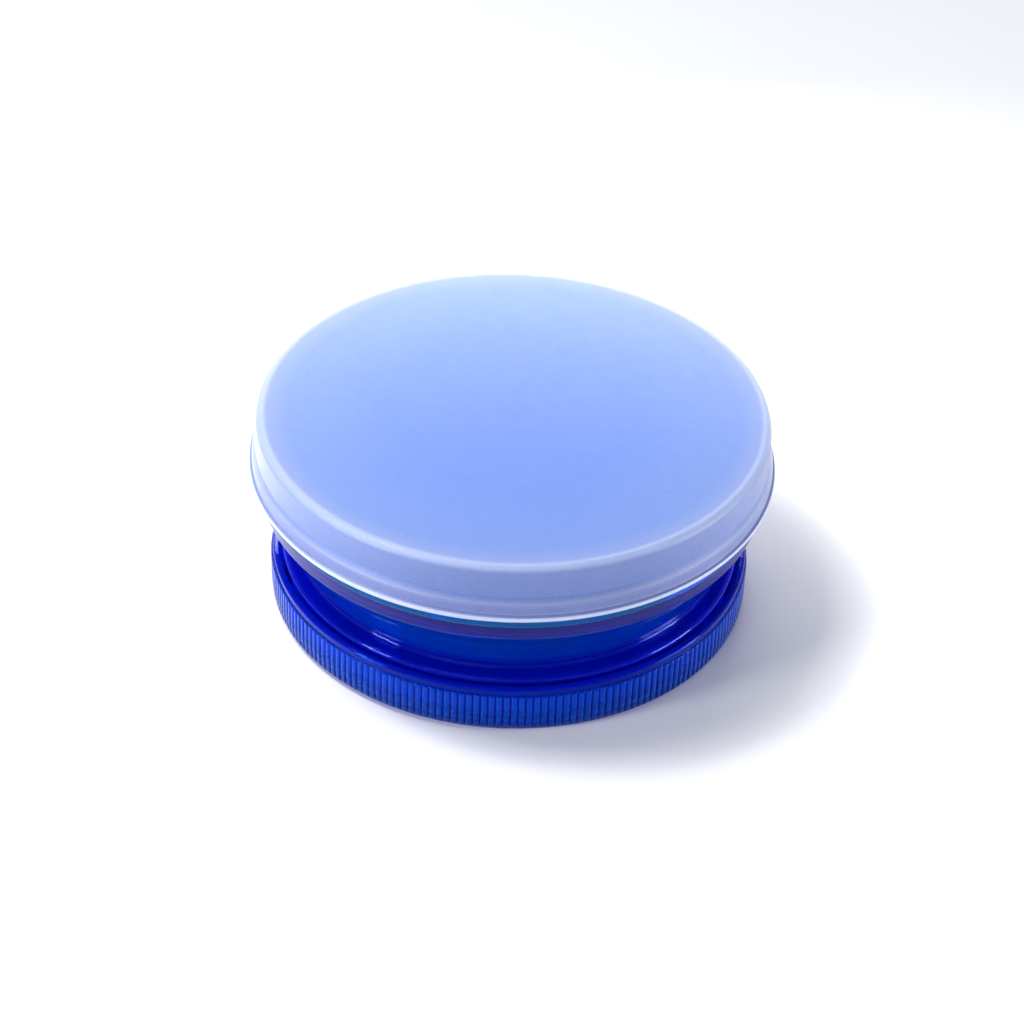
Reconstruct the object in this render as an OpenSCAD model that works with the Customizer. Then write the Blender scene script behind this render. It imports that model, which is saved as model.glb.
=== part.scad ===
// Screw-type pill crusher with a storage cup and a frosted snap cover.
// The base stands on z = 0, its axis is Z, and all lengths are in millimetres.

/* [Cover] */
// Height of the closed crusher
total_h = 30.2; // [29.6:0.1:34]
// Outer radius of the cover where its rounded top edge begins
cover_top_r = 36.4; // [36.2:0.1:36.6]
// Outer radius of the cover just above its lip
cover_low_r = 37.1; // [37:0.1:37.4]
// Wall thickness of the cover
cover_wall = 1.1; // [0.9:0.1:1.2]
// Radius of the rounded top edge
cover_edge_r = 1.1; // [0.8:0.1:2]
// Height of the cover's lower edge above the floor
cover_low_z = 21.9; // [21.7:0.1:22.3]

/* [Storage cup] */
// Outer radius of the cup's neck, inside the cover
neck_r = 35.1; // [34.5:0.1:35.2]
// Outer radius of the collar that the cover stops on
collar_r = 36.6; // [36.4:0.1:36.8]
// Outer radius where the upright band meets the tapered wall
band_r = 35.9; // [35.6:0.1:36]
// Height of that line above the floor
band_z = 17.9; // [17:0.1:18.5]
// Outer radius at the foot of the tapered wall
cup_foot_r = 30.2; // [29.5:0.1:31]
// Radius of the flange that covers the dish
flange_r = 33.0; // [32:0.1:33]
// Wall thickness of the cup
cup_wall = 1.4; // [1.2:0.1:1.6]

/* [Base] */
// Radius over the grip ribs
rim_r = 34.65; // [34.6:0.05:35.2]
// Height of the grip rim
rim_h = 7.6; // [7.4:0.05:8]
// Inner radius of the rim at its top
rim_in_r = 33.35; // [33.3:0.05:33.5]
// Radius of the flat underside
foot_r = 33.5; // [33.2:0.1:33.8]
// Height of the rounded lower edge
foot_h = 2.2; // [1.8:0.1:2.6]
// Number of grip ribs
rib_count = 208; // [160:4:220]
// Height of the ribs' upper ends
rib_top_z = 6.5; // [6:0.1:6.8]
// Depth of the grooves between the ribs
rib_depth = 0.3; // [0.2:0.05:0.35]

/* [Screw] */
// Rise of the cup in one turn
pitch = 4; // [3.6:0.1:4.4]
// Radius of the well's wall under its thread
screw_r = 14.6; // [14.4:0.1:14.8]
// Height of the thread ridges
ridge_h = 0.9; // [0.7:0.1:1]
// Gap between the ridges and the opposite wall
screw_gap = 0.4; // [0.3:0.05:0.5]

/* [Crushing parts] */
// Radius of the crushing well
well_r = 12; // [11.8:0.1:12.2]
// Number of teeth on each crushing face
tooth_count = 12; // [8:1:16]
// Height of the teeth
tooth_h = 0.5; // [0.3:0.05:0.6]

/* [Hidden] */
$fn = 96;

frost = [0.78, 0.85, 0.98];
cobalt = [0.02, 0.14, 0.72];

play = 0.35;                                // gap between parts that move past each other
seat_gap = 0.05;                            // radial gap of a part pushed into its seat
cover_land = 0.1;                           // radial gap between the cover and the neck
foot_recess = 0.6;                          // depth of the recess under the base
foot_ring = 2.6;                            // width of the flat ring that the base stands on
plate_z = 2.0;                              // top of the base's floor
flange_z = 8.4;                             // top of the cup's flange and foot of its wall
floor_under_z = flange_z - cup_wall;        // underside of the cup's floor
collar_z = cover_low_z - play;              // top of the collar
collar_h = 1.0;
neck_top_z = total_h - cover_wall - 0.7;
well_top_z = 12.4;
hub_under_z = well_top_z + 1.2;             // ceiling of the cup's threaded hub
hub_top_z = hub_under_z + cup_wall;
hub_in_r = screw_r + ridge_h + screw_gap;   // wall of the hub, behind its thread
hub_r = hub_in_r + cup_wall;
anvil_r = well_r - seat_gap;
anvil_z = 3.2;                              // top of the anvil plate, under its teeth
disc_low_z = anvil_z + 2 * tooth_h + play;  // underside of the disc, above its teeth
disc_h = 1.9;
disc_r = well_r - 0.5;
disc_top_z = disc_low_z + disc_h;
pestle_low_z = disc_top_z + play;
pestle_r = 9;
post_r = 4;                                 // post under the hub's ceiling that holds the pestle
post_low_z = pestle_low_z + 1.8;
stub_r = 2.6;                               // stub of the pestle in the disc's socket
stub_bead = 0.25;                           // snap bead round the stub
stub_low_z = disc_low_z + 0.7;

// Points of an arc about (cr, cz), from angle a0 to angle a1
function arc(cr, cz, r, a0, a1, n = 6) =
    [for (i = [0:n]) let (a = a0 + (a1 - a0) * i / n) [cr + r * cos(a), cz + r * sin(a)]];

// One helical ridge of trapezoid section on a wall of radius r. It stands out by h, or in by -h.
// Its ends run out into the wall.
module thread_ridge(r, h, z_low, turns, phase) {
    steps = 40;
    count = round(turns * steps);
    root_half = 0.9;
    crest_half = 0.42;
    sunk = h > 0 ? -0.45 : 0.45;
    ring = function (i)
        let (a = phase + 360 * i / steps,
             z = z_low + pitch * i / steps,
             grow = max(0.12, min(1, i / 5, (count - i) / 5)),
             crest = r + h * grow,
             section = [[r + sunk, -root_half], [r + sunk, root_half],
                        [crest, crest_half], [crest, -crest_half]])
        [for (p = section) [p[0] * cos(a), p[0] * sin(a), z + p[1]]];
    points = [for (i = [0:count]) each ring(i)];
    sides = [for (i = [0:count - 1], k = [0:3])
        let (a = 4 * i + k, b = 4 * i + (k + 1) % 4)
        each [[a, b, b + 4], [a, b + 4, a + 4]]];
    first = [for (k = [1:2]) [0, k + 1, k]];
    last = [for (k = [1:2]) [4 * count, 4 * count + k, 4 * count + k + 1]];
    all_faces = concat(sides, first, last);
    flipped = [for (f = all_faces) [f[0], f[2], f[1]]];
    polyhedron(points, h > 0 ? flipped : all_faces);
}

// Radial teeth of a crushing face, standing up from z by tooth_h
module teeth(r, z) {
    for (i = [0:tooth_count - 1])
        rotate([0, 0, i * 360 / tooth_count])
            translate([0, 0, z - 0.2])
                intersection() {
                    translate([3.2, 0, 0])
                        rotate([90, 0, 90])
                            linear_extrude(r - 4)
                                polygon([[-0.9, 0], [0.9, 0], [0.3, tooth_h + 0.2], [-0.3, tooth_h + 0.2]]);
                    cylinder(h = 5, r = r - 0.3);
                }
}

// Frosted snap cover: a shallow cap with a stepped skirt and a lip
module cover() {
    step_z = 24.8;
    lip_r = 0.35;
    inner_r = neck_r + cover_land;
    rim_x = cover_top_r - cover_edge_r;
    rim_y = total_h - cover_edge_r;
    outer = concat(
        [[0, total_h]],
        [for (p = arc(rim_x, rim_y, cover_edge_r, 90, 0, 8)) p],
        [[cover_low_r - 0.4, step_z + 0.3],
         [cover_low_r - 0.15, step_z],
         [cover_low_r, cover_low_z + 0.9]],
        arc(cover_low_r, cover_low_z + 0.45, lip_r, 70, -70, 6));
    inner = [[collar_r, cover_low_z],
             [inner_r + 0.5, cover_low_z + 0.8],
             [inner_r, cover_low_z + 1.6],
             [inner_r, total_h - cover_wall - 0.4],
             [inner_r - 0.4, total_h - cover_wall],
             [0, total_h - cover_wall]];
    color(frost) rotate_extrude() polygon(concat(outer, inner));
}

// Transparent cup with the collar, the flange over the dish and the threaded hub
module storage_cup() {
    taper = (band_r - cup_foot_r) / (band_z - flange_z);
    corner = 0.4;
    outer = concat(
        [[hub_in_r, floor_under_z]],
        [[flange_r - 0.6, floor_under_z]],
        arc(flange_r - 0.6, flange_z - 0.7, 0.7, -90, 90, 6),
        [[cup_foot_r + 0.5, flange_z],
         [cup_foot_r + 0.15 + 0.5 * taper, flange_z + 0.5],
         [band_r, band_z],
         [collar_r - 0.4, collar_z - collar_h - 0.3],
         [collar_r, collar_z - collar_h],
         [collar_r, collar_z - 0.2],
         [collar_r - 0.2, collar_z],
         [neck_r, collar_z]],
        arc(neck_r - corner, neck_top_z - corner, corner, 0, 90, 4),
        arc(neck_r - cup_wall + corner, neck_top_z - corner, corner, 90, 180, 4));
    inner = concat(
        [[neck_r - cup_wall, collar_z],
         [band_r - cup_wall, band_z + 0.5],
         [cup_foot_r - cup_wall + 1.2 * taper, flange_z + 1.2],
         [cup_foot_r - cup_wall - 1.2, flange_z]],
        [[hub_r + 0.8, flange_z],
         [hub_r, flange_z + 0.8]],
        arc(hub_r - 1, hub_top_z - 1, 1, 0, 90, 5),
        [[0, hub_top_z],
         [0, post_low_z],
         [post_r, post_low_z],
         [post_r, hub_under_z],
         [hub_in_r, hub_under_z]]);
    color(cobalt) {
        rotate_extrude() polygon(concat(outer, inner));
        thread_ridge(hub_in_r, -ridge_h, floor_under_z + 1.4, 0.95, 180);
    }
}

// Thimble pushed on the hub's post, with the stub that the crushing disc turns on
module pestle() {
    seat_r = post_r + seat_gap;
    top_z = hub_under_z;
    bead_z = stub_low_z + 0.5;
    outline = concat(
        [[0, stub_low_z],
         [stub_r - 0.2, stub_low_z]],
        arc(stub_r, bead_z, stub_bead, -90, 90, 4),
        [[stub_r, pestle_low_z],
         [pestle_r - 0.8, pestle_low_z],
         [pestle_r, pestle_low_z + 0.8],
         [pestle_r, top_z - 0.6],
         [pestle_r - 0.6, top_z],
         [seat_r, top_z],
         [seat_r, post_low_z - 0.1],
         [0, post_low_z - 0.1]]);
    color(cobalt) rotate_extrude() polygon(outline);
}

// Disc that snaps on the pestle's stub and bites on the tablet without turning
module crushing_disc() {
    mouth_r = stub_r + 0.08;
    groove_r = stub_r + stub_bead + 0.12;
    bead_z = stub_low_z + 0.5;
    floor_z = stub_low_z - 0.15;
    outline = [[0, disc_low_z],
               [disc_r - 0.4, disc_low_z],
               [disc_r, disc_low_z + 0.4],
               [disc_r, disc_top_z - 0.3],
               [disc_r - 0.3, disc_top_z],
               [mouth_r, disc_top_z],
               [mouth_r, bead_z + 0.45],
               [groove_r, bead_z + 0.3],
               [groove_r, bead_z - 0.3],
               [groove_r - 0.2, floor_z],
               [0, floor_z]];
    color(cobalt) {
        rotate_extrude() polygon(outline);
        translate([0, 0, disc_low_z])
            mirror([0, 0, 1])
                teeth(disc_r, 0);
    }
}

// Toothed plate in the bottom of the well
module anvil_plate() {
    color(cobalt) {
        rotate_extrude()
            polygon([[0, plate_z], [anvil_r, plate_z], [anvil_r, anvil_z - 0.3],
                     [anvil_r - 0.3, anvil_z], [0, anvil_z]]);
        teeth(anvil_r, anvil_z);
    }
}

// Outline of the dish: recessed underside, rounded lower edge, grip rim, floor and well
module dish_outline() {
    edge = 0.35;
    slope = rim_r - foot_r;
    lower_edge = [for (t = [0:0.125:1]) [foot_r + slope * sin(90 * t), foot_h * (1 - cos(90 * t))]];
    polygon(concat(
        [[0, foot_recess],
         [foot_r - foot_ring - foot_recess, foot_recess],
         [foot_r - foot_ring, 0]],
        lower_edge,
        [[rim_r, rib_top_z - 0.2],
         [rim_r - rib_depth, rib_top_z + 0.1]],
        arc(rim_r - rib_depth - edge, rim_h - edge, edge, 0, 90, 4),
        arc(rim_in_r + edge, rim_h - edge, edge, 90, 180, 4),
        [[rim_in_r, plate_z + 1.6]],
        arc(rim_in_r - 1.6, plate_z + 1.6, 1.6, 0, -90, 5),
        [[screw_r + 1.4, plate_z],
         [screw_r, plate_z + 1.4],
         [screw_r, well_top_z - 0.5],
         [screw_r - 0.5, well_top_z],
         [well_r + 0.6, well_top_z],
         [well_r, well_top_z - 0.6],
         [well_r, plate_z],
         [0, plate_z]]));
}

// Base: the dish with its grip ribs, and the well with its thread
module base_dish() {
    cutter_r = 0.3;
    shallow = 0.04;                 // the grooves stop this far outside the plain wall above them
    cutter_x = rim_r + cutter_r - rib_depth + shallow;
    groove_low = 1.0;
    color(cobalt) {
        difference() {
            rotate_extrude() dish_outline();
            for (i = [0:rib_count - 1])
                rotate([0, 0, i * 360 / rib_count])
                    translate([cutter_x, 0, groove_low])
                        cylinder(h = rib_top_z - groove_low + 0.4, r = cutter_r, $fn = 16);
        }
        thread_ridge(screw_r, ridge_h, floor_under_z + 1.4 - pitch / 2, 1.25, 180);
    }
}

cover();
storage_cup();
pestle();
crushing_disc();
anvil_plate();
base_dish();
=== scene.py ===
"""Looks of the screw-type pill crusher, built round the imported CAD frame.

The scene is in metres. Outlines are lists of (radius, height) in millimetres, because the object is
a turned shape of a few centimetres, and add_rings() turns them into metres.
"""

import math

import bmesh
import bpy
from mathutils import Matrix, Vector


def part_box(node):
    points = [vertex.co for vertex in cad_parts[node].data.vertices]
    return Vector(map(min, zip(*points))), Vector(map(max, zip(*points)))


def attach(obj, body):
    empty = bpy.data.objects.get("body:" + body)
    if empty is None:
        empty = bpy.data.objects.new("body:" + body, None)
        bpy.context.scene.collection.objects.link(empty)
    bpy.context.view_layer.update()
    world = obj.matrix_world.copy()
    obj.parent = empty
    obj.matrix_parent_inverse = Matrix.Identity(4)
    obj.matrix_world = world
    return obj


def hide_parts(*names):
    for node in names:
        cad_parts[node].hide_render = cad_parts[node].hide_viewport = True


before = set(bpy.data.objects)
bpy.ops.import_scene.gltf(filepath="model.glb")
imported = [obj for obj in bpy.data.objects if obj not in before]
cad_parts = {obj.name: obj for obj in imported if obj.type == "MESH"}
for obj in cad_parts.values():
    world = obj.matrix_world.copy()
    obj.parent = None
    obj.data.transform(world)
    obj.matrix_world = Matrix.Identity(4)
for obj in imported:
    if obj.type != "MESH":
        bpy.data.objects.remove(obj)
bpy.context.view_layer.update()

MM = 0.001


# ---------------------------------------------------------------- sizes from the frame, in mm
def outer_radius(node):
    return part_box(node)[1].x / MM


def low_z(node):
    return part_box(node)[0].z / MM


def high_z(node):
    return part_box(node)[1].z / MM


TOTAL_H = high_z("cover")
COVER_LOW_Z = low_z("cover")
LIP_R = outer_radius("cover")
NECK_TOP_Z = high_z("storage_cup")
COLLAR_R = outer_radius("storage_cup")
CUP_UNDER_Z = low_z("storage_cup")
RIM_R = outer_radius("base_dish")
WELL_TOP_Z = high_z("base_dish")

# screw
PITCH = 4.0
THREAD_H = 0.9
THREAD_CREST = 0.55
THREAD_FLANK = 0.35
THREAD_RUN_OUT = 0.8
SCREW_R = 14.6
HUB_IN_R = 15.9
THREAD_LOW_Z = CUP_UNDER_Z + 1.4

# cup
WALL = 1.4
FLANGE_R = 33.0
FLANGE_Z = CUP_UNDER_Z + 1.4
WALL_LOW_R = 30.2
BAND_R = 35.9
BAND_LOW_Z = 17.9
NECK_R = 35.1
NECK_IN_R = 33.7
CUP_FLOOR_Z = 9.0
POST_HOLE_R = 4.0

# base
FOOT_R = 33.5
FOOT_H = 2.2
RECESS_R = 30.3
RECESS_H = 0.6
BASE_FLOOR_Z = 2.0
WELL_R = 12.0
RIM_H = 7.6
RIM_IN_R = 33.35
RIM_EDGE = 0.35
RIB_COUNT = 208
RIB_DEPTH = 0.3
RIB_TOP_Z = 6.5
RIB_END = 0.35
WALL_R = RIM_R - RIB_DEPTH

# cover
COVER_THICK = 1.1
EDGE_R = 36.4
SKIRT_R = 37.08
SKIRT_LOW_Z = 23.1


# ---------------------------------------------------------------- colours
DEEP_BLUE = (0.0, 0.08, 1.0)
PURE_BLUE = (0.0, 0.02, 1.0)
WHITE = (1.0, 1.0, 1.0)
SKY = (0.82, 0.86, 1.0)

# Colour that the clear plastic lets through, and how strongly it takes out the rest, per metre
PASSED_COLOUR = (0.0, 0.85, 0.99)
PASSED_DENSITY = 2000

# (height, colour) up the cup: the flange, the wall, the upright band painted dark violet as a
# painted reflection, the collar painted light cyan as a painted glow, the neck
CUP_TINTS_AND_PAINTED_LIGHT = [
    (8.8, PURE_BLUE),
    (11.5, (0.0, 0.14, 1.0)),
    (17.6, (0.0, 0.14, 1.0)),
    # painted reflection: the upright band painted dark violet in place of what it reflects
    (18.2, (0.02, 0.015, 0.38)),
    (19.9, (0.02, 0.015, 0.38)),
    # painted glow: the collar painted light cyan for light shining through its thin wall
    (20.4, (0.0, 0.42, 1.0)),
    (21.5, (0.0, 0.42, 1.0)),
    (22.3, (0.0, 0.14, 1.0)),
]

# (distance from the dish's plain wall, colour): the rim, a dark blue at the plain wall's radius
# painted as shade in the grooves between the ribs, also darker at their notch and on the plain band
# above them, the crowns of the ribs
RIB_TINTS_AND_PAINTED_SHADE = [
    (-0.12, PURE_BLUE),
    # painted shade: dark blue on the floor of the grooves between the ribs
    (-0.02, (0.0, 0.012, 0.3)),
    (0.05, (0.0, 0.012, 0.3)),
    (0.2, (0.0, 0.13, 0.95)),
]

# (distance from the axis, colour) of the cover, mostly painted light: its top blue from the cup
# below and paler outward, a painted highlight on its rounded edge, its skirt with painted light and
# shade, its white lip
COVER_TINTS_AND_PAINTED_LIGHT = [
    # painted light: blue in the middle for light from the cup below, paling outward as a painted
    # sheen
    (0.0, (0.02, 0.11, 0.46)),
    (18.0, (0.03, 0.125, 0.46)),
    (32.0, (0.07, 0.16, 0.46)),
    (34.9, (0.13, 0.20, 0.45)),
    # painted highlight along the rounded edge
    (35.5, (0.29, 0.34, 0.52)),
    (36.2, (0.29, 0.34, 0.52)),
    (36.5, (0.12, 0.18, 0.44)),
    (36.68, (0.12, 0.18, 0.43)),
    # painted light: a lighter band on the outward-sloping step of the skirt
    (36.8, (0.23, 0.27, 0.47)),
    (36.93, (0.23, 0.27, 0.47)),
    # painted shade: darker at the groove over the lip
    (37.0, (0.14, 0.18, 0.41)),
    (37.3, (0.18, 0.22, 0.43)),
    (37.4, (0.48, 0.52, 0.66)),
]

MOTTLE = [
    (0.3, (0.8, 0.87, 0.94)),
    (0.7, WHITE),
]

FLOOR_TONES = [
    (0.3, (0.71, 0.71, 0.715)),
    (0.7, (0.73, 0.73, 0.735)),
]

# name, direction from the object, distance, (width, height), power, colour
LIGHTS = [
    ("key", (-0.46, 0.1, 1.0), 0.6, (0.22, 0.22), 3.3, WHITE),
    ("key_core", (-0.46, 0.1, 1.0), 0.59, (0.05, 0.05), 0.5, WHITE),
    ("back_fill", (-0.05, 0.8, 0.56), 0.125, (0.14, 0.03), 0.15, WHITE),
    ("front_fill", (-0.35, -0.85, 0.8), 0.6, (0.3, 0.3), 0.42, (0.82, 0.88, 1.0)),
    ("left_fill", (-1.0, -0.6, 0.3), 0.5, (0.12, 0.12), 2.1, WHITE),
    ("right_fill", (1.0, -0.2, 0.12), 0.5, (0.2, 0.2), 2.5, WHITE),
]
SKY_STRENGTH = 0.355


# ---------------------------------------------------------------- outlines
def rounded(corners, steps=6, guard=0.05):
    """Points of an outline of (r, z, fillet) corners, each fillet made an arc.

    A guard point just past each end of an arc keeps its smooth shading off the flat beside it.
    """
    count = len(corners)
    points = []
    for i, (r, z, fillet) in enumerate(corners):
        here = Vector((r, z))
        if fillet <= 0:
            points.append(here)
            continue
        to_before = (Vector(corners[i - 1][:2]) - here).normalized()
        to_after = (Vector(corners[(i + 1) % count][:2]) - here).normalized()
        half = to_before.angle(to_after) / 2
        reach = fillet / math.tan(half)
        centre = here + (to_before + to_after).normalized() * (fillet / math.sin(half))
        start = here + to_before * reach
        first = start - centre
        last = here + to_after * reach - centre
        sweep = math.atan2(first.x * last.y - first.y * last.x, first.dot(last))
        points.append(start + to_before * guard)
        for k in range(steps + 1):
            a = sweep * k / steps
            turned = Vector((first.x * math.cos(a) - first.y * math.sin(a),
                             first.x * math.sin(a) + first.y * math.cos(a)))
            points.append(centre + turned)
        points.append(here + to_after * (reach + guard))
    return points


def stretch(start, end, count):
    """Evenly spaced points between two points of an outline, both left out."""
    a, b = Vector(start), Vector(end)
    return [a.lerp(b, k / (count + 1)) for k in range(1, count + 1)]


# ---------------------------------------------------------------- turned meshes
def even_angles(count):
    return [2 * math.pi * k / count for k in range(count)]


def add_rings(bm, points, angles, shape=None):
    """One ring of vertices per outline point, or one vertex where the outline meets the axis."""
    rings = []
    for p in points:
        if p[0] < 1e-6:
            rings.append([bm.verts.new((0, 0, p[1] * MM))])
            continue
        ring = []
        for a in angles:
            r = p[0] + (shape(p[0], p[1], a) if shape else 0)
            ring.append(bm.verts.new((r * math.cos(a) * MM, r * math.sin(a) * MM, p[1] * MM)))
        rings.append(ring)
    return rings


def join_rings(bm, a, b, slot=0):
    """Faces between two rings of the same count, or between a ring and a vertex on the axis."""
    if len(a) == 1 and len(b) == 1:
        return
    count = max(len(a), len(b))
    for k in range(count):
        n = (k + 1) % count
        if len(a) == 1:
            face = bm.faces.new((a[0], b[n], b[k]))
        elif len(b) == 1:
            face = bm.faces.new((a[k], a[n], b[0]))
        else:
            face = bm.faces.new((a[k], a[n], b[n], b[k]))
        face.material_index = slot


def join_all(bm, rings, points, inside=None):
    """Joins rings in order. Faces whose middle is inside() take the second material slot."""
    for i in range(len(rings) - 1):
        middle = (Vector(points[i]) + Vector(points[i + 1])) / 2
        slot = 1 if inside and inside(middle.x, middle.y) else 0
        join_rings(bm, rings[i], rings[i + 1], slot)


def join_fine_to_coarse(bm, fine, coarse):
    """Faces between a ring and one with fewer vertices, on a flat."""
    ratio = len(fine) // len(coarse)
    for k in range(len(coarse)):
        n = (k + 1) % len(coarse)
        edge = [fine[(k * ratio + i) % len(fine)] for i in range(ratio + 1)]
        bm.faces.new([coarse[k]] + [coarse[n]] + edge[::-1])


def finish_mesh(name, bm):
    """A smooth-shaded object from a bmesh, with its normals made to point out."""
    bmesh.ops.recalc_face_normals(bm, faces=bm.faces)
    mesh = bpy.data.meshes.new(name)
    bm.to_mesh(mesh)
    bm.free()
    mesh.shade_smooth()
    piece = bpy.data.objects.new(name, mesh)
    bpy.context.scene.collection.objects.link(piece)
    return piece


def lathe(name, points, segments, shape=None, inside=None):
    """A closed solid turned from an outline. An outline off the axis closes on itself."""
    bm = bmesh.new()
    rings = add_rings(bm, points, even_angles(segments), shape)
    join_all(bm, rings, points, inside)
    if len(rings[0]) > 1 and len(rings[-1]) > 1:
        join_rings(bm, rings[-1], rings[0])
    return finish_mesh(name, bm)


def thread_height(z, angle, start_z, low_z, high_z):
    """How far the right-hand thread stands off its wall at a height and an angle."""
    along = (z - start_z - PITCH * angle / (2 * math.pi) + PITCH / 2) % PITCH - PITCH / 2
    flank = min(max((THREAD_CREST + THREAD_FLANK - abs(along)) / THREAD_FLANK, 0), 1)
    start = min(max((z - low_z) / THREAD_RUN_OUT, 0), 1)
    end = min(max((high_z - z) / THREAD_RUN_OUT, 0), 1)
    return THREAD_H * flank * start * end


# ---------------------------------------------------------------- pieces
def make_cover():
    """Frosted snap cover: flat top, rounded edge, skirt with a step and a lip."""
    under = TOTAL_H - COVER_THICK
    corners = [
        (0, TOTAL_H, 0),
        (EDGE_R, TOTAL_H, 1.0),
        (36.55, 25.5, 1.2),
        (36.95, 24.3, 1.0),
        (SKIRT_R, SKIRT_LOW_Z, 0.2),
        (SKIRT_R - 0.1, SKIRT_LOW_Z - 0.2, 0.05),
        (SKIRT_R + 0.02, SKIRT_LOW_Z - 0.38, 0.05),
        (LIP_R, SKIRT_LOW_Z - 0.5, 0.2),
        (LIP_R, COVER_LOW_Z, 0.3),
        (36.7, COVER_LOW_Z, 0.2),
        (35.3, 23.4, 0.5),
        (35.2, under, 0.5),
        (0, under, 0),
    ]
    points = rounded(corners, steps=8)
    points[1:1] = stretch((0, TOTAL_H), (34, TOTAL_H), 8)
    return lathe("cover_shell", points, 512)


def make_cup():
    """Clear cup: flange, tapered wall, upright band, collar, neck and the threaded hub."""
    hub_under = WELL_TOP_Z + 1.2
    hub_top = hub_under + WALL
    hub_r = HUB_IN_R + WALL
    collar_top = COVER_LOW_Z - 0.35
    thread_top = hub_under - 0.6
    corners = [
        (FLANGE_R, CUP_UNDER_Z, 0.5),
        (FLANGE_R, FLANGE_Z, 0.6),
        (WALL_LOW_R, FLANGE_Z, 0.5),
        (BAND_R, BAND_LOW_Z, 0.5),
        (BAND_R + 0.3, collar_top - 1.35, 0.2),
        (COLLAR_R, collar_top - 1.0, 0.15),
        (COLLAR_R, collar_top, 0.2),
        (NECK_R, collar_top, 0.15),
        (NECK_R, NECK_TOP_Z, 0.4),
        (NECK_IN_R, NECK_TOP_Z, 0.4),
        (NECK_IN_R, 21.6, 2.0),
        (34.4, 18.5, 2.0),
        (29.3, 9.6, 1.0),
        (27.7, FLANGE_Z, 0.8),
        (hub_r, FLANGE_Z, 0.8),
        (hub_r, hub_top, 1.0),
        (0, hub_top, 0),
        (0, CUP_FLOOR_Z, 0),
        (POST_HOLE_R, CUP_FLOOR_Z, 0.2),
        (POST_HOLE_R, hub_under, 0.3),
        (HUB_IN_R, hub_under, 0.5),
    ]
    threaded = stretch((HUB_IN_R, thread_top), (HUB_IN_R, CUP_UNDER_Z + 0.1), 50)
    points = rounded(corners) + threaded + [Vector((HUB_IN_R, CUP_UNDER_Z))]

    def screw(r, z, angle):
        if abs(r - HUB_IN_R) > 0.01 or z > thread_top:
            return 0
        start = THREAD_LOW_Z - PITCH / 2
        return -thread_height(z, angle, start, THREAD_LOW_Z - 0.9, THREAD_LOW_Z + 4.6)

    def inside(r, z):
        wall_r = WALL_LOW_R + (min(z, BAND_LOW_Z) - FLANGE_Z) * 0.6
        return z > FLANGE_Z - 0.05 and r < min(wall_r, NECK_R - 0.1) - 0.6

    return lathe("cup_shell", points, 384, screw, inside)


def rib_angles():
    """Angles closer together at the flanks of each rib than on its crown."""
    share = [0.0, 0.08, 0.17, 0.3, 0.5, 0.7, 0.83, 0.92]
    return [2 * math.pi * (i + s) / RIB_COUNT for i in range(RIB_COUNT) for s in share]


def smooth_step(low, high, value):
    t = min(max((value - low) / (high - low), 0), 1)
    return t * t * (3 - 2 * t)


def rib_reach(z):
    """Share of a rib's full depth at a height: a rounded top end, and a bead under a notch."""
    if z > RIB_TOP_Z - RIB_END:
        rise = min((z - RIB_TOP_Z + RIB_END) / RIB_END, 1)
        return math.sqrt(1 - rise * rise)
    notch = 1 - 0.65 * math.exp(-((z - 2.0) / 0.16) ** 2)
    bead = smooth_step(0.1, 1.0, z)
    return bead * notch


def rib_shape(r, z, angle):
    """How far the grip ribs stand off the plain wall."""
    u = (angle * RIB_COUNT / (2 * math.pi)) % 1.0
    off = abs(u - 0.5) * 2
    across = (1 - 0.25 * off * off) * (1 - smooth_step(0.6, 1.0, off))
    return RIB_DEPTH * across * rib_reach(z)


def quarter(steps):
    """Angles of a quarter turn."""
    return [math.pi / 2 * k / steps for k in range(steps + 1)]


def base_skin():
    """Outline of the ribbed side: foot, curved lower edge, wall and the rim's outer edge."""
    spread = WALL_R - FOOT_R
    edge_z = RIM_H - RIM_EDGE
    heights = [2.4, 3.4, 4.4, 5.4, 6.1]
    heights += [RIB_TOP_Z - RIB_END + RIB_END * math.sin(a) for a in quarter(5)]
    heights += [RIB_TOP_Z + 0.06, edge_z - 0.05]
    skin = [(FOOT_R - 0.8, 0), (FOOT_R - 0.1, 0)]
    skin += [(FOOT_R + spread * math.sin(a), FOOT_H * (1 - math.cos(a))) for a in quarter(9)]
    skin += [(WALL_R, z) for z in heights]
    skin += [(WALL_R - RIM_EDGE + RIM_EDGE * math.cos(a), edge_z + RIM_EDGE * math.sin(a))
             for a in quarter(6)]
    return [Vector(point) for point in skin]


def base_inner():
    """Outline from the rim's top over the trough, screw and well to the underside."""
    inner = rounded([
        (WALL_R - RIM_EDGE - 0.05, RIM_H, 0),
        (RIM_IN_R, RIM_H, 0.25),
        (RIM_IN_R, BASE_FLOOR_Z, 1.6),
        (SCREW_R, BASE_FLOOR_Z, 1.2),
    ])
    inner += stretch((SCREW_R, 3.4), (SCREW_R, WELL_TOP_Z - 0.5), 36)
    inner += rounded([
        (SCREW_R, 3.0, 0),
        (SCREW_R, WELL_TOP_Z, 0.4),
        (WELL_R, WELL_TOP_Z, 0.5),
        (WELL_R, BASE_FLOOR_Z, 0.05),
        (0, BASE_FLOOR_Z, 0),
        (0, RECESS_H, 0),
        (RECESS_R, RECESS_H, 0.3),
        (RECESS_R + 0.6, 0, 0.1),
        (FOOT_R - 1.2, 0, 0),
    ])[1:]
    return inner


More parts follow.
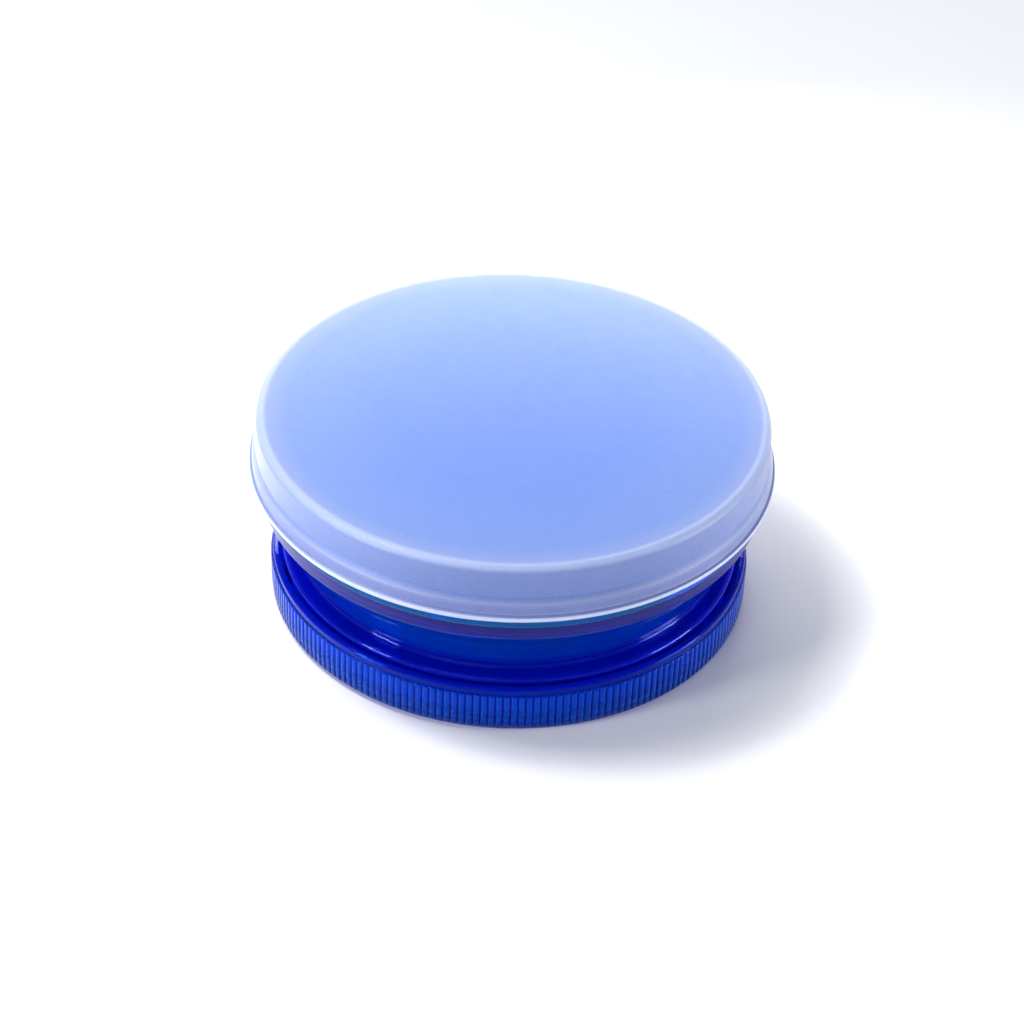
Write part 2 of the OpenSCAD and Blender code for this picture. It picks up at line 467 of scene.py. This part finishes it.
def make_base():
    """Clear dish: ribbed rim, floor, and the well with the thread round it."""

    def screw(r, z, angle):
        if abs(r - SCREW_R) > 0.01 or not 3.3 < z < WELL_TOP_Z - 0.45:
            return 0
        return thread_height(z, angle, THREAD_LOW_Z, 4.6, WELL_TOP_Z - 0.4)

    def inside(r, z):
        return z > 1.0 and r < RIM_IN_R + 0.05

    skin = base_skin()
    inner = base_inner()
    bm = bmesh.new()
    fine = add_rings(bm, skin, rib_angles(), rib_shape)
    coarse = add_rings(bm, inner, even_angles(RIB_COUNT * 2), screw)
    join_all(bm, fine, skin)
    join_all(bm, coarse, inner, inside)
    join_fine_to_coarse(bm, fine[-1], coarse[0])
    join_fine_to_coarse(bm, fine[0], coarse[-1])
    return finish_mesh("base_shell", bm)


# ---------------------------------------------------------------- materials
def new_material(name):
    material = bpy.data.materials.new(name)
    material.use_nodes = True
    nodes = material.node_tree.nodes
    return material, nodes, material.node_tree.links, nodes["Principled BSDF"]


def noise(nodes, links, scale, detail, roughness=0.5):
    """Noise texture in object space, in features per metre."""
    where = nodes.new("ShaderNodeTexCoord")
    texture = nodes.new("ShaderNodeTexNoise")
    texture.inputs["Scale"].default_value = scale
    texture.inputs["Detail"].default_value = detail
    texture.inputs["Roughness"].default_value = roughness
    links.new(where.outputs["Object"], texture.inputs["Vector"])
    return texture.outputs["Fac"]


def ramp(nodes, links, value, stops):
    """Colour ramp over a value, with (position, colour) stops."""
    node = nodes.new("ShaderNodeValToRGB")
    links.new(value, node.inputs["Fac"])
    elements = node.color_ramp.elements
    while len(elements) < len(stops):
        elements.new(0.5)
    for element, (position, colour) in zip(elements, stops):
        element.position = position
        element.color = (*colour, 1)
    return node.outputs["Color"]


def span(nodes, links, value, low, high):
    """The value's 0 to 1 range spread between low and high."""
    node = nodes.new("ShaderNodeMapRange")
    links.new(value, node.inputs["Value"])
    node.inputs["To Min"].default_value = low
    node.inputs["To Max"].default_value = high
    return node.outputs["Result"]


def multiply(nodes, links, a, b):
    node = nodes.new("ShaderNodeMix")
    node.data_type = "RGBA"
    node.blend_type = "MULTIPLY"
    node.inputs["Factor"].default_value = 1.0
    links.new(a, node.inputs["A"])
    links.new(b, node.inputs["B"])
    return node.outputs["Result"]


def bump(nodes, links, shader, height, distance):
    node = nodes.new("ShaderNodeBump")
    node.inputs["Strength"].default_value = 1.0
    node.inputs["Distance"].default_value = distance
    links.new(height, node.inputs["Height"])
    links.new(node.outputs["Normal"], shader.inputs["Normal"])


def share_of(nodes, links, value, whole):
    """A value in metres as a share of a whole in millimetres."""
    share = nodes.new("ShaderNodeMapRange")
    share.inputs["From Max"].default_value = whole * MM
    links.new(value, share.inputs["Value"])
    return share.outputs["Result"]


def height_share(nodes, links):
    """Height above the floor, as a share of the object's height."""
    where = nodes.new("ShaderNodeTexCoord")
    parts = nodes.new("ShaderNodeSeparateXYZ")
    links.new(where.outputs["Object"], parts.inputs["Vector"])
    return share_of(nodes, links, parts.outputs["Z"], TOTAL_H)


def axis_share(nodes, links):
    """Distance from the screw axis, as a share of the lip's radius."""
    where = nodes.new("ShaderNodeTexCoord")
    flat = nodes.new("ShaderNodeVectorMath")
    flat.operation = "MULTIPLY"
    flat.inputs[1].default_value = (1, 1, 0)
    links.new(where.outputs["Object"], flat.inputs[0])
    reach = nodes.new("ShaderNodeVectorMath")
    reach.operation = "LENGTH"
    links.new(flat.outputs["Vector"], reach.inputs[0])
    return share_of(nodes, links, reach.outputs["Value"], LIP_R)


def as_stops(tints, whole, start=0.0):
    """Ramp stops from tints in millimetres, as shares of the whole."""
    return [((start + at) / whole, colour) for at, colour in tints]


def blue_plastic(name, clear, body, gleam, rough):
    """Clear cobalt plastic: thin walls pass a lighter blue, thick ones only deep blue.

    Clear is the share that passes straight through, and the rest is a haze in the body colour.
    The gleam tints its reflections, and rough is the low and high of its roughness.
    """
    material, nodes, links, shader = new_material(name)
    shader.inputs["Base Color"].default_value = (*body, 1)
    shader.inputs["Transmission Weight"].default_value = clear
    shader.inputs["IOR"].default_value = 1.5
    shader.inputs["Specular Tint"].default_value = (*gleam, 1)
    wear = noise(nodes, links, 900, 4.0, 0.6)
    links.new(span(nodes, links, wear, *rough), shader.inputs["Roughness"])
    bump(nodes, links, shader, noise(nodes, links, 120, 1.0), 0.002 * MM)
    volume = nodes.new("ShaderNodeVolumeAbsorption")
    volume.inputs["Color"].default_value = (*PASSED_COLOUR, 1)
    volume.inputs["Density"].default_value = PASSED_DENSITY
    links.new(volume.outputs["Volume"], nodes["Material Output"].inputs["Volume"])
    return material


def tint(material, by, stops):
    """Colours a material by a ramp over height_share or axis_share."""
    nodes = material.node_tree.nodes
    links = material.node_tree.links
    colour = ramp(nodes, links, by(nodes, links), stops)
    links.new(colour, nodes["Principled BSDF"].inputs["Base Color"])


def cup_materials():
    """The cup's clear outside, and its hazier inside and hub bore."""
    outer = blue_plastic("clear_blue_cup", 0.86, DEEP_BLUE, (0.15, 0.22, 1.0), (0.02, 0.06))
    # the height ramp paints a reflection on the upright band and a glow on the collar
    tint(outer, height_share, as_stops(CUP_TINTS_AND_PAINTED_LIGHT, TOTAL_H))
    inner = blue_plastic("clear_blue_cup_inside", 0.5, DEEP_BLUE, (0.2, 0.3, 1.0), (0.1, 0.2))
    return outer, inner


def base_materials():
    """The dish's ribbed side and underside, and the hazier trough, screw and well."""
    outer = blue_plastic("clear_blue_base", 0.76, DEEP_BLUE, (0.0, 0.15, 1.0), (0.03, 0.08))
    # the ramp paints shade into the grooves between the ribs
    tint(outer, axis_share, as_stops(RIB_TINTS_AND_PAINTED_SHADE, LIP_R, WALL_R))
    inner = blue_plastic("clear_blue_base_inside", 0.22, PURE_BLUE, (0.05, 0.1, 1.0), (0.05, 0.12))
    return outer, inner


def frosted_plastic(name):
    """Milky plastic with a fine matte grain, coloured with painted light: blue in the middle for
    light from the blue cup below, paler to its edge as a painted sheen, with a painted highlight on
    its rounded edge, a lighter band painted on the skirt's step and painted shade in the groove
    over its lip.
    """
    material, nodes, links, shader = new_material(name)
    colour = ramp(nodes, links, axis_share(nodes, links), as_stops(COVER_TINTS_AND_PAINTED_LIGHT, LIP_R))
    mottle = ramp(nodes, links, noise(nodes, links, 4200, 2.0), MOTTLE)
    links.new(multiply(nodes, links, colour, mottle), shader.inputs["Base Color"])
    shader.inputs["Specular IOR Level"].default_value = 0.5
    shader.inputs["Sheen Weight"].default_value = 0.9
    shader.inputs["Sheen Roughness"].default_value = 0.35
    shader.inputs["Subsurface Weight"].default_value = 0.7
    shader.inputs["Subsurface Radius"].default_value = (0.6, 0.8, 1.0)
    shader.inputs["Subsurface Scale"].default_value = 0.7 * MM
    wear = noise(nodes, links, 500, 3.0)
    links.new(span(nodes, links, wear, 0.42, 0.55), shader.inputs["Roughness"])
    bump(nodes, links, shader, noise(nodes, links, 4500, 2.0), 0.03 * MM)
    return material


def floor_material():
    material, nodes, links, shader = new_material("pale_floor")
    colour = ramp(nodes, links, noise(nodes, links, 12, 2.0), FLOOR_TONES)
    links.new(colour, shader.inputs["Base Color"])
    shader.inputs["Roughness"].default_value = 0.8
    return material


def paint(piece, *materials):
    piece.data.materials.clear()
    for material in materials:
        piece.data.materials.append(material)


# ---------------------------------------------------------------- object
for piece, body, node, slot, materials in (
    (make_cover(), "cover", "cover", "frosted_plastic", [frosted_plastic("frosted_plastic")]),
    (make_cup(), "cup", "storage_cup", "clear_blue_cup", cup_materials()),
    (make_base(), "base", "base_dish", "clear_blue_base", base_materials()),
):
    paint(piece, *materials)
    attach(piece, body)
    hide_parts(node)

blue_inner = blue_plastic("clear_blue_inner", 0.7, DEEP_BLUE, (0.3, 0.4, 1.0), (0.05, 0.15))
for node in ("pestle", "crushing_disc", "anvil_plate"):
    paint(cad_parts[node], blue_inner)


# ---------------------------------------------------------------- stage, light and camera
def make_floor():
    mesh = bpy.data.meshes.new("floor")
    half = 4.0
    corners = [(-half, -half, 0), (half, -half, 0), (half, half, 0), (-half, half, 0)]
    mesh.from_pydata(corners, [], [(0, 1, 2, 3)])
    floor = bpy.data.objects.new("floor", mesh)
    bpy.context.scene.collection.objects.link(floor)
    paint(floor, floor_material())


def make_world():
    world = bpy.data.worlds.new("studio")
    bpy.context.scene.world = world
    world.use_nodes = True
    background = world.node_tree.nodes["Background"]
    background.inputs["Color"].default_value = (*SKY, 1)
    background.inputs["Strength"].default_value = SKY_STRENGTH


def area_light(name, direction, distance, size, power, colour):
    """Soft light, (width, height) in size, that shines at the object from a direction."""
    light = bpy.data.lights.new(name, "AREA")
    light.shape = "RECTANGLE"
    light.size, light.size_y = size
    light.energy = power
    light.color = colour
    lamp = bpy.data.objects.new(name, light)
    lamp.location = Vector(direction).normalized() * distance
    lamp.rotation_euler = Vector(direction).to_track_quat("Z", "Y").to_euler()
    lamp.visible_camera = False
    bpy.context.scene.collection.objects.link(lamp)


def make_camera():
    """Camera above the front, turned a little about its own axis."""
    elevation = math.radians(37.08)
    roll = math.radians(2.15)
    distance = 0.4414
    side_shift = 0.00024
    up_shift = 0.00967
    focal_length = 105.46875
    sensor_width = 36
    forward = Vector((0, math.cos(elevation), -math.sin(elevation)))
    side = Vector((1, 0, 0))
    up = side.cross(forward)
    right = side * math.cos(roll) + up * math.sin(roll)
    top = up * math.cos(roll) - side * math.sin(roll)
    data = bpy.data.cameras.new("camera")
    data.lens = focal_length
    data.sensor_width = sensor_width
    data.clip_start = 0.01
    camera = bpy.data.objects.new("camera", data)
    turn = Matrix((right, top, -forward)).transposed()
    place = side * side_shift + up * up_shift - forward * distance
    camera.matrix_world = Matrix.Translation(place) @ turn.to_4x4()
    bpy.context.scene.collection.objects.link(camera)
    bpy.context.scene.camera = camera


def allow_bounces(count):
    """Light inside clear plastic reflects many times before it comes out."""
    cycles = bpy.context.scene.cycles
    cycles.max_bounces = count
    cycles.transmission_bounces = count
    cycles.glossy_bounces = count
    cycles.diffuse_bounces = 8


make_floor()
make_world()
for light in LIGHTS:
    area_light(*light)
make_camera()
bpy.context.scene.view_settings.view_transform = "Standard"
allow_bounces(28)
